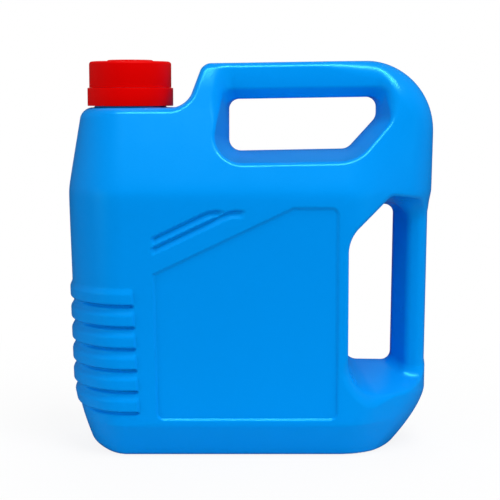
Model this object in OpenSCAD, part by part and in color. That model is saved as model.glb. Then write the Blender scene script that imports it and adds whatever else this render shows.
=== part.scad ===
// Motor oil bottle: a hollow blow-moulded can with a top handle, a rear handle, a neck and a screw cap.
// Millimetres. X runs along the width with the neck at the left, the front faces -Y, and Z is up.
// The two halves of the mould part at Y = 0, so the back is the front mirrored.

/* [Body] */
// Width over the two ends
body_width = 240; // [225:1:260]
// Depth over the front and back faces
body_depth = 118; // [108:1:130]
// Height of the top handle
bottle_height = 252.4; // [245:0.2:263]
// Distance from the top down to the shoulder, where the faces start to lean in
shoulder_drop = 83.5; // [76:0.5:91]
// Distance from the top down to the flat deck under the neck
deck_drop = 30.4; // [29:0.2:38]
// Depth of the deck
deck_depth = 64; // [58:1:76]
// Depth of the handle at its top
top_depth = 33.5; // [31:0.5:40]
// Length over which the shoulder rounds
shoulder_round = 4; // [1:0.5:8]
// Thickness of the moulded wall
wall = 1.3; // [1:0.1:2.2]
// How much the left side comes in from the shoulder to the base
left_draft = 5; // [0:0.2:9]
// How much the right side comes in from the top to the base
right_draft = 2.4; // [0:0.2:5]
// Distance from the rear handle's hole to where the flat face starts to bend back
face_margin = 6.6; // [4:0.2:10]
// Length over which the face bends
face_bend = 13; // [8:1:18]
// Depth of the rear end
rear_depth = 50; // [42:1:60]
// Least step back from the face to the rear end
rear_step = 3; // [1:0.5:5]
// Radius of the rear end's edges in plan
rear_edge = 16; // [8:1:18]
// Width of the top right corner
top_corner = 43.5; // [34:0.5:47]
// Height of the top right corner
top_corner_height = 47; // [38:0.5:52]
// Radius of the deck's edge
deck_edge = 7; // [3:0.5:8]

/* [Base] */
// Height of the crease above the base
base_height = 21; // [14:0.5:24]
// How much the faces tuck in below that crease
base_tuck = 9.5; // [4:0.5:14]
// Radius of the base's edge
base_edge = 4; // [2:0.5:6]
// Width of the lower left corner
left_corner_width = 11; // [7:0.2:17]
// Height of the lower left corner
left_corner_height = 44; // [30:1:48]
// Radius at the foot of the lower left corner
left_foot_round = 6; // [5:0.5:12]
// Width of the lower right corner
right_corner_width = 21.5; // [14:0.5:28]
// Height of the lower right corner
right_corner_height = 37; // [26:1:42]
// Radius at the foot of the lower right corner
right_foot_round = 4; // [2:0.5:8]
// Depth of the hollow under the base
push_up = 3; // [1:0.5:6]
// Width of the rim that the bottle stands on
stand_rim = 12; // [8:1:18]

/* [Top handle] */
// Distance from the right side to the hole
top_end = 38; // [36:0.5:46]
// Distance from the top down to the lowest point of the hole
top_hole_drop = 57; // [51:0.5:63]
// Thickness of the handle bar
top_bar_height = 22.5; // [18:0.5:26]
// Depth of the handle bar
top_bar_depth = 32; // [26:1:34]
// Radius of the handle bar's edges
top_bar_edge = 7; // [5:0.5:8.5]
// How far the bar lies below the ends of the handle
top_bar_drop = 0.4; // [0.4:0.1:2]
// How much the handle rises from the post to the right
top_rise = 1.5; // [0:0.1:2.5]
// Width of the hole's slanted corner
top_slant_width = 18; // [12:1:26]
// Height of the hole's slanted corner
top_slant_height = 20.5; // [14:0.5:25]
// How far the pocket round the hole widens sideways to the front face
top_flare = 11.5; // [6:0.5:15]
// How far it widens downwards
top_flare_down = 9.5; // [5:0.5:13]
// Corner radius of the hole
top_hole_corner = 7; // [4:0.5:10]
// Radius between the bar and the ends of the hole
top_hole_fillet = 6.5; // [2:0.5:7]
// Gap between the tamper band and the post
post_gap = 9.3; // [6:0.1:13]
// Width of the post, from its foot to the hole
post_width = 28.5; // [24:0.5:33]
// How much the post leans in towards its top
post_lean = 9; // [4:0.5:12]
// Radius between the post and the deck
post_fillet = 9.5; // [5:0.5:11]
// Radius of the post's upper corner
post_corner = 6.5; // [4:0.5:10]

/* [Rear handle] */
// Distance from the right side to the hole's left side
rear_reach = 56.5; // [52:0.5:60]
// Lowest point of the hole
rear_hole_floor = 54.5; // [50:0.5:62]
// Distance from the top down to the highest point of the hole
rear_hole_drop = 94.9; // [92:0.1:101]
// Width of the hole's slanted corner
rear_slant_width = 22.5; // [16:0.5:28]
// Height of the hole's slanted corner
rear_slant_height = 22.5; // [14:0.5:32]
// Corner radius of the hole
rear_hole_corner = 7; // [4:0.5:9]
// Radius between the bar and the ends of the hole
rear_hole_fillet = 6.5; // [2:0.5:7]
// Radius between the bar's faces and the roof of the pocket
rear_roof_fillet = 13; // [6:0.5:15]
// Width of the handle bar
rear_bar_width = 20.8; // [17:0.2:24]
// Depth of the handle bar
rear_bar_depth = 34; // [28:1:38]
// Radius of the handle bar's edges
rear_bar_edge = 8.5; // [6:0.5:8.5]
// How far the right side stands out above the handle
rear_shoulder = 1.6; // [0:0.2:5]
// Height over which it does so
rear_shoulder_rise = 12; // [6:0.5:14]
// How far the bar lies inside the right side
rear_bar_step = 0.4; // [0.2:0.1:1.5]
// How far the pocket widens to the left
rear_flare_left = 1.5; // [0.5:0.5:4]
// How far its slanted corner widens
rear_slant_flare = 6; // [2:0.5:9]
// How far the pocket widens upwards
rear_flare_up = 13.5; // [8:0.5:16]
// How far the pocket widens downwards
rear_flare_down = 18; // [12:1:24]
// How much further it widens downwards at the right side
rear_floor_slant = 16; // [4:1:20]

/* [Grip ribs] */
// Number of ribs
rib_count = 6; // [3:1:6]
// Distance from rib to rib
rib_pitch = 13.7; // [12:0.05:14]
// Height of the top rib's middle
rib_top = 102.5; // [100:0.5:113]
// Height of a rib at its foot
rib_foot = 11.2; // [9:0.2:11.6]
// Height of a rib at its crest
rib_crest = 6.2; // [4:0.2:7]
// How far a rib stands proud
rib_rise = 1.6; // [0.8:0.1:2.4]
// How far the ribs run past the neck's axis
rib_past = 4.9; // [2:0.1:11]

/* [Label panel] */
// Distance from the ribs' ends to the panel
panel_inset = 14.3; // [10:0.1:20]
// Distance from the panel to the end of the flat face
panel_margin = 1.8; // [1:0.2:10]
// Height of the panel's bottom
panel_floor = 25; // [24:0.5:34]
// Distance from the top of the bottle down to the panel
panel_drop = 92.9; // [92:0.1:104]
// Length of the panel's top edge, beside its slanted corner
panel_top_length = 28.2; // [20:0.1:42]
// Height of the panel's slanted corner
panel_slant_height = 41.8; // [32:0.2:46]
// How much the panel's left side comes in towards the bottom
panel_draft = 2; // [0:0.5:4]
// Depth of the panel
panel_depth = 1; // [0.4:0.1:1.6]
// Corner radius of the panel
panel_corner = 4; // [2:0.5:8]
// Depth of the two grooves above the slanted corner
groove_depth = 1.6; // [0.6:0.1:2.4]
// Height of a groove's ramp
groove_ramp = 4.6; // [3:0.2:5.4]
// Distance from groove to groove, measured upwards
groove_pitch = 6.3; // [5.6:0.1:7]
// Distance from the panel to the first groove, measured upwards
groove_start = 16.6; // [13:0.2:18]
// How far the grooves end below the panel's top
groove_stop = 2.2; // [0:0.2:6]
// Length of a groove's level upper end
groove_level = 9; // [4:0.5:12]

/* [Neck and cap] */
// Distance from the left side to the neck's axis
neck_inset = 41; // [38:0.1:45]
// Bore of the neck
neck_bore = 40; // [34:0.5:42]
// Wall of the neck
neck_wall = 3.3; // [2.4:0.1:3.6]
// Room between neck and cap for the thread
thread_room = 2.1; // [1.6:0.1:2.6]
// Wall of the cap's skirt
cap_wall = 1.6; // [1.2:0.1:2.4]
// Height of the cap
cap_height = 17.8; // [14:0.2:20]
// Thickness of the cap's top
cap_top = 2.6; // [2:0.1:3.6]
// How far the cap's round face stands above its edge
cap_crown = 1; // [0.2:0.1:1.6]
// Diameter of that face
cap_face = 29; // [20:0.5:36]
// Radius of the cap's upper edge
cap_edge = 2; // [0.8:0.1:2.4]
// How far the tamper band stands out past the cap
band_step = 1.2; // [0.4:0.1:2]
// Height of the tamper band
band_height = 12.2; // [9:0.2:14]
// Wall of the tamper band
band_wall = 2.2; // [1.4:0.1:2.6]
// Height of the lip inside the tamper band
band_lip = 3; // [2:0.2:4]
// How far the neck's bead stands out
bead_rise = 2.1; // [1.4:0.1:2.4]
// Height of the neck's bead
bead_height = 3; // [2:0.2:4]
// Thickness of the sealing liner
liner_thickness = 1.2; // [0.8:0.1:2]

/* [Clearances] */
// Gap between the deck and the tamper band
deck_gap = 0.6; // [0.3:0.1:0.9]
// Gap where the cap broke from the tamper band
break_gap = 0.4; // [0.3:0.1:0.8]
// Gap between the band's lip and the neck, and under the bead
lip_gap = 0.8; // [0.4:0.1:1.2]
// Gap on each face of the sealing liner
seal_gap = 0.1; // [0.05:0.05:0.3]
// Gap round the sealing liner
liner_gap = 0.3; // [0.2:0.1:0.6]

/* [Hidden] */

// Steps along a quarter of the left end, along a bend, and round a turned part
end_steps = 7;
bend_steps = 4;
turn_steps = 56;
// How far a cutter runs past the surface that it cuts
past = 6;
// Thickness of the slices that a tapered cutter spans
slice = 0.01;
// How far a cutter on one side reaches across the parting plane
overlap = 1;
// How sharply the lower corners curve in
corner_curve = 1.5;
// Steps round a quarter of a handle bar's edge
bar_steps = 4;
// How far the top handle's bar runs into the ends of its space
bar_seat = 8;
// How far the rear handle's bar runs into the floor of its space
rear_seat = 14;
// Rise of a groove's steep wall
groove_wall = 0.6;
// Least length of the rounded left end
least_end = 10;

// Places that the pieces share
left_x = -body_width / 2;
right_x = body_width / 2;
neck_x = left_x + neck_inset;
shoulder_height = bottle_height - shoulder_drop;
deck_height = bottle_height - deck_drop;
lean = (body_depth - deck_depth) / 2 / (deck_height - shoulder_height);
upper_lean = (deck_depth - top_depth) / 2 / deck_drop;
top_corner_z = bottle_height - top_corner_height;
reach = body_depth / 2 + past;
neck_radius = neck_bore / 2 + neck_wall;
cap_bore_radius = neck_radius + thread_room;
cap_radius = cap_bore_radius + cap_wall;
band_radius = cap_radius + band_step;
band_floor = deck_height + deck_gap;
cap_floor = band_floor + band_height + break_gap;
cap_ceiling = cap_floor + cap_height - cap_top;
rim_height = cap_ceiling - liner_thickness - 2 * seal_gap;
bead_floor = band_floor + band_lip + lip_gap;
post_foot = neck_x + band_radius + post_gap;
top_hole_left = post_foot + post_width;
top_hole_right = right_x - top_end;
top_hole_floor = bottle_height - top_hole_drop;
rear_hole_left = right_x - rear_reach;
rear_hole_top = bottle_height - rear_hole_drop;
face_end = rear_hole_left - face_margin;
rib_end = neck_x + rib_past;
panel_left = rib_end + panel_inset;
panel_right = face_end - panel_margin;
panel_top = bottle_height - panel_drop;
panel_slope = panel_slant_height / (panel_right - panel_left - panel_top_length);
roof_height = rear_hole_top + rear_flare_up * rear_bar_depth / 2 / reach;
top_slope = top_rise / (top_hole_right - top_hole_left);
top_level_x = right_x - top_corner;

// Depth that a rounded edge of radius r takes off at a distance d from its end
function rounding(d, r) = d >= r ? 0 : r - sqrt(max(0, r * r - (r - max(0, d)) * (r - max(0, d))));

// A slope that starts softly at zero
function soft_start(d, softness) = (d + sqrt(d * d + softness * softness)) / 2;

// A curve from a to b that leaves and arrives along the lines to the corner
function bend(a, corner, b) = [
    for (i = [0 : bend_steps])
        let (t = i / bend_steps)
        a * (1 - t) * (1 - t) + corner * 2 * t * (1 - t) + b * t * t
];

// The same list in rising order, without close repeats
function rising(list) =
    len(list) == 0 ? [] :
    let (low = min(list))
    concat([low], rising([for (v = list) if (v > low + 0.2) v]));

// Half depth of the front face at a height
function half_depth(z) =
    body_depth / 2
    - base_tuck * max(0, 1 - z / base_height)
    - rounding(z, base_edge)
    - lean * soft_start(z - shoulder_height, shoulder_round)
    - (upper_lean - lean) * max(0, z - deck_height)
    - rounding(bottle_height - z, post_corner);

// Left side of the body at a height
function left_side(z) =
    left_x
    + left_draft * max(0, 1 - z / shoulder_height)
    + left_corner_width * pow(max(0, 1 - z / left_corner_height), corner_curve)
    + rounding(z, left_foot_round)
    + (neck_inset - deck_depth / 2) * max(0, z - shoulder_height) / (deck_height - shoulder_height);

// Right side of the body at a height
function right_side(z) =
    right_x
    - right_draft * max(0, 1 - z / top_corner_z)
    - rear_shoulder * min(1, max(0, (rear_hole_top + rear_shoulder_rise - z) / rear_shoulder_rise))
    - right_corner_width * pow(max(0, 1 - z / right_corner_height), corner_curve)
    - rounding(z, right_foot_round)
    - top_corner * rounding((bottle_height - z) / top_corner_height, 1);

// Half depth of the rear end at a height, never more than the face's
function rear_half(z) = min(rear_depth / 2 - rounding(z, base_edge), half_depth(z) - rear_step);

// Left side of the handle's post at a height
function post_side(z) =
    post_foot
    + post_lean * max(0, z - deck_height) / (bottle_height - deck_height)
    - rounding(z - deck_height, post_fillet)
    + rounding(bottle_height - z, post_corner);

// How far the ribs stand out at a height
function rib_at(z) =
    let (steps = [for (i = [0 : rib_count - 1]) abs(z - rib_top + i * rib_pitch)])
    let (slope = (rib_foot - rib_crest) / 2)
    rib_rise * min(1, max(0, (rib_foot / 2 - min(steps)) / slope));

// Front half of the outline right of the left end: the flat face, the bend and the rear edge
function front_half(z, inset) =
    let (r = right_side(z) - inset)
    let (h = half_depth(z) - inset)
    let (e = rear_half(z) - inset)
    let (a = [face_end, -h])
    let (b = [face_end + face_bend, -h])
    let (c = [max(r, face_end + face_bend + 1), -e])
    let (edge = min(rear_edge, e * 0.8, norm(c - b) * 0.45))
    let (along = (b - c) / norm(b - c))
    concat(
        bend(a, b, b - along * min(face_bend, norm(c - b) * 0.45)),
        bend(c + along * edge, c, c + [0, edge])
    );

// Front half of the body's outline: a half ellipse round the neck's axis, the ribs' ends and the face
function body_half(z, inset) =
    let (edge = rounding(deck_height - z, deck_edge) + inset)
    let (l = left_side(z) + edge)
    let (h = half_depth(z) - edge)
    let (rib = rib_at(z))
    let (middle = max(neck_x, l + least_end))
    concat(
        [
            for (i = [0 : end_steps])
                let (t = 90 * i / end_steps)
                [middle - (middle - l + rib) * cos(t), -(h + rib) * sin(t)]
        ],
        [[max(rib_end, middle + 1), -(h + rib)], [max(rib_end, middle + 1) + rib_rise, -h]],
        front_half(z, edge)
    );

// Front half of the handle's outline: the post's rounded side and the face
function handle_half(z, inset) =
    let (l = post_side(z) + inset)
    let (h = half_depth(z) - inset)
    let (edge = min(10, h * 0.8))
    concat(bend([l, edge - h], [l, -h], [l + edge, -h]), front_half(z, inset));

// A closed ring at a height from its front half
function ring(half, z) = concat(
    [for (p = half) [p.x, p.y, z]],
    [for (i = [len(half) - 1 : -1 : 0]) if (half[i].y < -0.001) [half[i].x, -half[i].y, z]]
);

// A solid through a stack of rings with equal counts
module skin(rings) {
    count = len(rings[0]);
    last = len(rings) - 1;
    sides = [
        for (k = [0 : last - 1])
            for (i = [0 : count - 1])
                let (j = (i + 1) % count)
                each [
                    [k * count + i, (k + 1) * count + i, (k + 1) * count + j],
                    [k * count + i, (k + 1) * count + j, k * count + j]
                ]
    ];
    floor_face = [for (i = [0 : count - 1]) i];
    top_face = [for (i = [count - 1 : -1 : 0]) last * count + i];
    polyhedron([for (r = rings) each r], concat(sides, [floor_face, top_face]), convexity = 10);
}

// The body from the base to the deck
module body_form(inset) {
    rib_levels = [
        for (i = [0 : rib_count - 1])
            for (d = [-rib_foot, -rib_crest, rib_crest, rib_foot])
                rib_top - i * rib_pitch + d / 2
    ];
    levels = rising(concat(
        [for (t = [0, 0.12, 0.4, 1]) t * base_edge],
        [left_foot_round, (left_foot_round + base_height) / 2, base_height],
        rib_levels,
        [for (t = [-2, -0.6, 0.6, 2]) shoulder_height + t * shoulder_round],
        [rear_hole_top, rear_hole_top + rear_shoulder_rise, top_corner_z],
        [for (t = [1, 0.6, 0.25, 0.06, 0]) deck_height - t * deck_edge]
    ));
    kept = [for (z = levels) if (z > inset + 0.2 && z < deck_height - inset - 0.2) z];
    skin([for (z = concat([inset], kept, [deck_height - inset])) ring(body_half(z, inset), z)]);
}

// The post, the space of the top handle and the right shoulder, above the deck
module handle_form(inset) {
    foot = deck_height - deck_edge;
    levels = rising(concat(
        [foot, deck_height],
        [for (t = [0.1, 0.3, 0.6, 1]) deck_height + t * post_fillet],
        [for (a = [20 : 10 : 90]) top_corner_z + top_corner_height * sin(a)],
        [for (t = [1, 0.6, 0.25, 0.06]) bottle_height - t * post_corner]
    ));
    kept = [for (z = levels) if (z > foot + 0.2 && z < bottle_height - inset - 0.2) z];
    multmatrix([[1, 0, 0, 0], [0, 1, 0, 0], [top_slope, 0, 1, -top_slope * top_level_x]])
        skin([for (z = concat([foot], kept, [bottle_height - inset])) ring(handle_half(z, inset), z)]);
}

// A cutter on the front side that widens from an outline at the parting plane to one past the face
module tapered_cut(corner, inset) {
    hull() {
        translate([0, overlap, 0])
            rotate([90, 0, 0])
                linear_extrude(slice)
                    offset(r = corner + inset)
                        offset(delta = -corner)
                            children(0);
        translate([0, -reach, 0])
            rotate([90, 0, 0])
                linear_extrude(slice)
                    offset(r = corner + inset)
                        offset(delta = -corner)
                            children(1);
    }
}

// Outline of the top handle's space, open above, widened by a part of its flares
module top_outline(part) {
    l = top_hole_left - top_flare * part;
    r = top_hole_right + top_flare * part;
    f = top_hole_floor - top_flare_down * part;
    slant_shift = top_flare * 0.4 * part;
    polygon([
        [l, f - top_rise],
        [top_hole_right - top_slant_width + slant_shift, f],
        [r, top_hole_floor + top_slant_height - slant_shift],
        [r, bottle_height + past],
        [l, bottle_height + past]
    ]);
}

// Outline of the rear handle's space, open to the right, widened by a part of its flares
module rear_outline(part) {
    l = rear_hole_left - rear_flare_left * part;
    f = rear_hole_floor - rear_flare_down * part;
    t = rear_hole_top + rear_flare_up * part;
    polygon([
        [l, f],
        [right_x + past, f - rear_floor_slant * part],
        [right_x + past, t],
        [rear_hole_left + rear_slant_width + rear_slant_flare * part, t],
        [l, rear_hole_top - rear_slant_height + rear_slant_flare * part]
    ]);
}

// The pockets of both handles, on the front side
module handle_pockets(inset) {
    tapered_cut(top_hole_corner, inset) {
        top_outline(0);
        top_outline(1);
    }
    tapered_cut(rear_hole_corner, inset) {
        rear_outline(0);
        rear_outline(1);
    }
}

// Points round a rectangle with rounded corners, turning left from its lower right corner
function rounded_box(low, high, radius) = [
    for (corner = [[high.x, low.y, 270], [high.x, high.y, 0], [low.x, high.y, 90], [low.x, low.y, 180]])
        let (middle = [max(low.x + radius, min(high.x - radius, corner.x)),
                       max(low.y + radius, min(high.y - radius, corner.y))])
        for (i = [0 : bar_steps])
            let (angle = corner.z + 90 * i / bar_steps)
            middle + radius * [cos(angle), sin(angle)]
];

// Stations along a bar from one end of a hole to the other, close together along the fillets
function bar_stations(from, to, fillet) = concat(
    [for (t = [0, 0.12, 0.45, 1]) from + t * fillet],
    [for (t = [1, 0.45, 0.12, 0]) to - t * fillet]
);

// How far a bar is thickened beside the ends of its hole, and at most
function bar_flare(at, from, to, fillet, most) =
    min(most, rounding(at - from, fillet) + rounding(to - at, fillet));

// The bar of the top handle, from the post to the right shoulder
module top_bar(inset) {
    high = bottle_height - top_bar_drop - inset;
    low = bottle_height - top_bar_drop - top_bar_height + inset;
    half = top_bar_depth / 2 - inset;
    from = top_hole_left - inset;
    to = top_hole_right + inset;
    fillet = top_hole_fillet + inset;
    stations = concat([from - bar_seat], bar_stations(from, to, fillet), [to + bar_seat]);
    intersection() {
        handle_form(inset);
        skin([
            for (x = stations)
                let (floor_z = low - bar_flare(x, from, to, fillet, top_hole_fillet))
                let (lift = top_slope * (x - top_level_x))
                [for (p = rounded_box([-half, floor_z], [half, high], top_bar_edge - inset)) [x, p.x, p.y + lift]]
        ]);
    }
}

// Outer side of the rear handle's bar at a height
function bar_side(z) = right_side(min(max(z, right_corner_height), rear_hole_top)) - rear_bar_step;

// The bar of the rear handle, along the right side
module rear_bar(inset) {
    from = rear_hole_floor - inset;
    to = rear_hole_top + inset;
    fillet = rear_hole_fillet + inset;
    roof = roof_height + inset;
    roof_fillet = rear_roof_fillet + inset;
    stations = rising(concat(
        [from - rear_seat],
        bar_stations(from, to, fillet),
        [for (t = [1, 0.55, 0.22, 0]) roof - t * roof_fillet],
        [roof + rear_flare_up]
    ));
    intersection() {
        body_form(inset);
        skin([
            for (z = stations)
                let (half = rear_bar_depth / 2 - inset + min(rear_roof_fillet, rounding(roof - z, roof_fillet)))
                let (outer = bar_side(z) - inset)
                let (inner = bar_side(z) - rear_bar_width + inset - bar_flare(z, from, to, fillet, rear_hole_fillet))
                [for (p = rounded_box([inner, -half], [outer, half], rear_bar_edge - inset)) [p.x, p.y, z]]
        ]);
    }
}

// The hollow under the base
module base_hollow(inset) {
    low = body_half(0, stand_rim - inset);
    high = body_half(0, stand_rim + push_up - inset);
    skin([ring(low, -past), ring(low, 0), ring(high, push_up + inset)]);
}

// The label panel's outline
module panel_outline() {
    polygon([
        [panel_left + panel_draft, panel_floor],
        [panel_right, panel_floor],
        [panel_right, panel_top],
        [panel_right - panel_top_length, panel_top],
        [panel_left, panel_top - panel_slant_height]
    ]);
}

// The recess of the label panel, on the front side
module panel_recess(inset) {
    translate([0, panel_depth + inset - body_depth / 2, 0])
        rotate([90, 0, 0])
            linear_extrude(past + inset)
                offset(r = panel_corner + inset)
                    offset(delta = -panel_corner)
                        panel_outline();
}

// One groove beside the panel's slanted corner: a steep upper wall over a gentle ramp, with a level upper end
module groove(lift, inset) {
    start_z = panel_top - panel_slant_height + lift;
    last_z = panel_top - groove_stop;
    last_x = panel_left + (last_z - start_z) / panel_slope;
    face = inset - body_depth / 2;
    first_x = panel_left - panel_draft - inset;
    stations = [
        [first_x, start_z + (first_x - panel_left) * panel_slope],
        [last_x, last_z],
        [last_x + groove_level + inset, last_z]
    ];
    skin([
        for (s = stations)
            [
                [s.x, face + groove_depth, s.y + inset],
                [s.x, face, s.y + groove_wall + inset],
                [s.x, face - past, s.y + groove_wall + inset],
                [s.x, face - past, s.y - groove_ramp],
                [s.x, face, s.y - groove_ramp]
            ]
    ]);
}

// The bottle's outer form, or its hollow when inset by the wall
module bottle_form(inset) {
    difference() {
        union() {
            difference() {
                union() {
                    body_form(inset);
                    handle_form(inset);
                }
                for (side = [0, 1])
                    mirror([0, side, 0])
                        handle_pockets(inset);
            }
            top_bar(inset);
            rear_bar(inset);
        }
        base_hollow(inset);
        for (side = [0, 1])
            mirror([0, side, 0]) {
                panel_recess(inset);
                groove(groove_start, inset);
                groove(groove_start + groove_pitch, inset);
            }
    }
}

// Outside of the neck, with the bead that holds the tamper band
module neck_outside() {
    translate([neck_x, 0, 0])
        rotate_extrude($fn = turn_steps)
            polygon([
                [0, deck_height - wall],
                [neck_radius + 0.6, deck_height - wall],
                [neck_radius, deck_height + 1.5],
                [neck_radius, bead_floor],
                [neck_radius + bead_rise, bead_floor],
                [neck_radius, bead_floor + bead_height],
                [neck_radius, rim_height - 0.8],
                [neck_radius - 0.8, rim_height],
                [0, rim_height]
            ]);
}

// Blow-moulded shell with its neck, both handles and the grip ribs
module bottle() {
    color("royalblue")
        difference() {
            union() {
                bottle_form(0);
                neck_outside();
            }
            bottle_form(wall);
            translate([neck_x, 0, deck_height - wall - 1])
                cylinder(d = neck_bore, h = rim_height - deck_height + wall + 2, $fn = turn_steps);
        }
}

// Screw cap
module cap() {
    high = cap_floor + cap_height;
    color("firebrick")
        translate([neck_x, 0, 0])
            rotate_extrude($fn = turn_steps)
                polygon(concat(
                    [
                        [0, cap_ceiling],
                        [cap_bore_radius, cap_ceiling],
                        [cap_bore_radius, cap_floor],
                        [cap_radius, cap_floor]
                    ],
                    [
                        for (a = [0 : 15 : 90])
                            [
                                cap_radius - cap_edge + cap_edge * cos(a),
                                high - cap_crown - cap_edge + cap_edge * sin(a)
                            ]
                    ],
                    [[cap_face / 2 + cap_crown, high - cap_crown], [cap_face / 2, high], [0, high]]
                ));
}

// Tamper band, whose lip lies under the neck's bead
module tamper_band() {
    color("darkred")
        translate([neck_x, 0, 0])
            rotate_extrude($fn = turn_steps)
                polygon([
                    [neck_radius + lip_gap, band_floor],
                    [band_radius - 0.5, band_floor],
                    [band_radius, band_floor + 0.5],
                    [band_radius, band_floor + band_height - 0.7],
                    [band_radius - 0.7, band_floor + band_height],
                    [band_radius - band_wall, band_floor + band_height],
                    [band_radius - band_wall, band_floor + band_lip + lip_gap],
                    [neck_radius + lip_gap, band_floor + band_lip]
                ]);
}

// Foam liner that seals the neck's rim
module cap_liner() {
    color("whitesmoke")
        translate([neck_x, 0, rim_height + seal_gap])
            cylinder(r = cap_bore_radius - liner_gap, h = liner_thickness, $fn = turn_steps);
}

bottle();
cap();
tamper_band();
cap_liner();
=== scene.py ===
"""Looks of a motor oil bottle: the moulded bottle with its threaded neck, the screw cap with its liner, and
the tamper band. Lengths of the pieces are in millimetres until their meshes are made."""

import math

import bmesh
import bpy
import numpy as np
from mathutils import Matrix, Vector


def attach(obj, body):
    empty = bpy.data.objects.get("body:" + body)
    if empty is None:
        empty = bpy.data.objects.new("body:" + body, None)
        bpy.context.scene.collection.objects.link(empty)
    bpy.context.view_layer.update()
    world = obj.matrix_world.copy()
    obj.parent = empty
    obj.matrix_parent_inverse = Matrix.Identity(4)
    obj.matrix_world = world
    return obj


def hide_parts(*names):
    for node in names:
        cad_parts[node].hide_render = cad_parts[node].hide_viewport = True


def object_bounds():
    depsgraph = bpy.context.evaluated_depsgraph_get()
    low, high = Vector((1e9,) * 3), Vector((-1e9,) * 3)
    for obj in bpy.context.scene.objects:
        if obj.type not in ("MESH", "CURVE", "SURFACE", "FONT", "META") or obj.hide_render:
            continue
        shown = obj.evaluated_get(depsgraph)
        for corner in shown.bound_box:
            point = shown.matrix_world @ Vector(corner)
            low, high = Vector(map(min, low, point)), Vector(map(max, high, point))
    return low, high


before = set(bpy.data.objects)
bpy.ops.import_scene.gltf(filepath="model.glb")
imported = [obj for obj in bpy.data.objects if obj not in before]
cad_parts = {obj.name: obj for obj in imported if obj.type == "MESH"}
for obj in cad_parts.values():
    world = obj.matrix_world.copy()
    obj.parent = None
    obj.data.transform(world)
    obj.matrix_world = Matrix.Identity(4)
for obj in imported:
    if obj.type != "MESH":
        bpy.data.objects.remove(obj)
cad_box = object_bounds()

MM = 0.001

# Body
BODY_WIDTH = 240.0
BODY_DEPTH = 118.0
BOTTLE_HEIGHT = 252.4
SHOULDER_HEIGHT = 168.9
SHOULDER_ROUND = 4.0
DECK_HEIGHT = 222.0
DECK_DEPTH = 64.0
LEFT_DECK_EDGE = 7.0
FRONT_DECK_EDGE = 4.0
DECK_EDGE_INSET = 5.0
DECK_EDGE_RUN = 25.0
TOP_DEPTH = 33.5
TOP_CORNER_WIDTH = 43.5
TOP_CORNER_HEIGHT = 47.0
LEFT_DRAFT = 5.0
RIGHT_DRAFT = 2.4
LEAST_END = 10.0
FACE_END = 56.9
FACE_BEND = 13.0
REAR_DEPTH = 50.0
REAR_STEP = 3.0
REAR_BEND = 8.0
REAR_EDGE = 16.0
REAR_EDGE_START = 40.0
REAR_EDGE_RUN = 60.0

# Base
BASE_HEIGHT = 21.0
BASE_TUCK = 9.5
BASE_EDGE = 2.0
CREASE_ROUND = 1.2
LEFT_CORNER_WIDTH = 11.0
LEFT_CORNER_HEIGHT = 44.0
LEFT_FOOT_ROUND = 6.0
LEFT_FOOT_RUN = 20.0
RIGHT_CORNER_WIDTH = 21.5
RIGHT_CORNER_HEIGHT = 37.0
CORNER_CURVE = 1.5
CORNER_LIMIT = 1.1
PUSH_UP = 3.0
PUSH_UP_ROUND = 1.5
STAND_RIM = 12.0

# Top handle and its post
TOP_HOLE_LEFT = -13.0
TOP_HOLE_RIGHT = 82.0
TOP_HOLE_FLOOR = 195.4
TOP_HOLE_CORNER = 7.0
TOP_BAR_HEIGHT = 22.5
TOP_BAR_DEPTH = 32.0
TOP_BAR_DROP = 1.0
TOP_BAR_BEVEL = 6.5
TOP_BAR_ROUND = 3.0
TOP_SLANT_WIDTH = 18.0
TOP_SLANT_HEIGHT = 20.5
TOP_SLANT_SHIFT = 0.4
TOP_RISE = 1.5
TOP_RISE_RUN = 40.0
TOP_FLARE = 11.5
TOP_FLARE_LEFT = 16.0
TOP_FLARE_RIGHT = 20.0
TOP_FLARE_DOWN = 9.5
TOP_RIM_START = 12.0
TOP_RIM_RUN = 22.0
POST_FOOT = -41.7
POST_LEAN = 11.0
POST_FILLET = 9.5
POST_FILLET_RUN = 40.0
POST_CORNER = 4.8
POST_BACK = 0.0045
POST_BACK_START = 234.0
POST_BACK_PAST = 5.0
POST_BACK_RUN = 15.0

# Rear handle
REAR_HOLE_LEFT = 63.5
REAR_HOLE_FLOOR = 54.5
REAR_HOLE_TOP = 157.5
REAR_HOLE_CORNER = 7.0
REAR_SLANT_WIDTH = 22.5
REAR_SLANT_HEIGHT = 22.5
REAR_SLANT_FLARE = 6.0
REAR_FLOOR_SLANT = 16.0
REAR_FLARE_LEFT = 1.5
REAR_FLARE_UP = 13.5
REAR_FLARE_DOWN = 18.0
REAR_ROOF_FILLET = 13.0
REAR_BAR_WIDTH = 22.0
REAR_BAR_DEPTH = 34.0
REAR_BAR_EDGE = 8.5
REAR_BAR_BEVEL = 8.6
REAR_BAR_BEVEL_DEPTH = 12.0
REAR_BAR_FRONT_ROUND = 6.0
REAR_BAR_INNER_ROUND = 3.0
REAR_BAR_STEP = 0.4
REAR_SHOULDER = 1.6
REAR_SHOULDER_RISE = 12.0
REAR_RIM_RISE = 12.0
REAR_RIM_RUN = 15.0
REAR_RIM_END = 95.0
REAR_RIM_FADE = 20.0

# Edges that both handles share
RIM_ROUND = 2.0
SOFT_RIM = 7.0
CORNER_GROWTH = 18.0
HOLE_FILLET = 6.5
PARTING_ROUND = 3.0
CUT_PAST = 6.0

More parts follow.
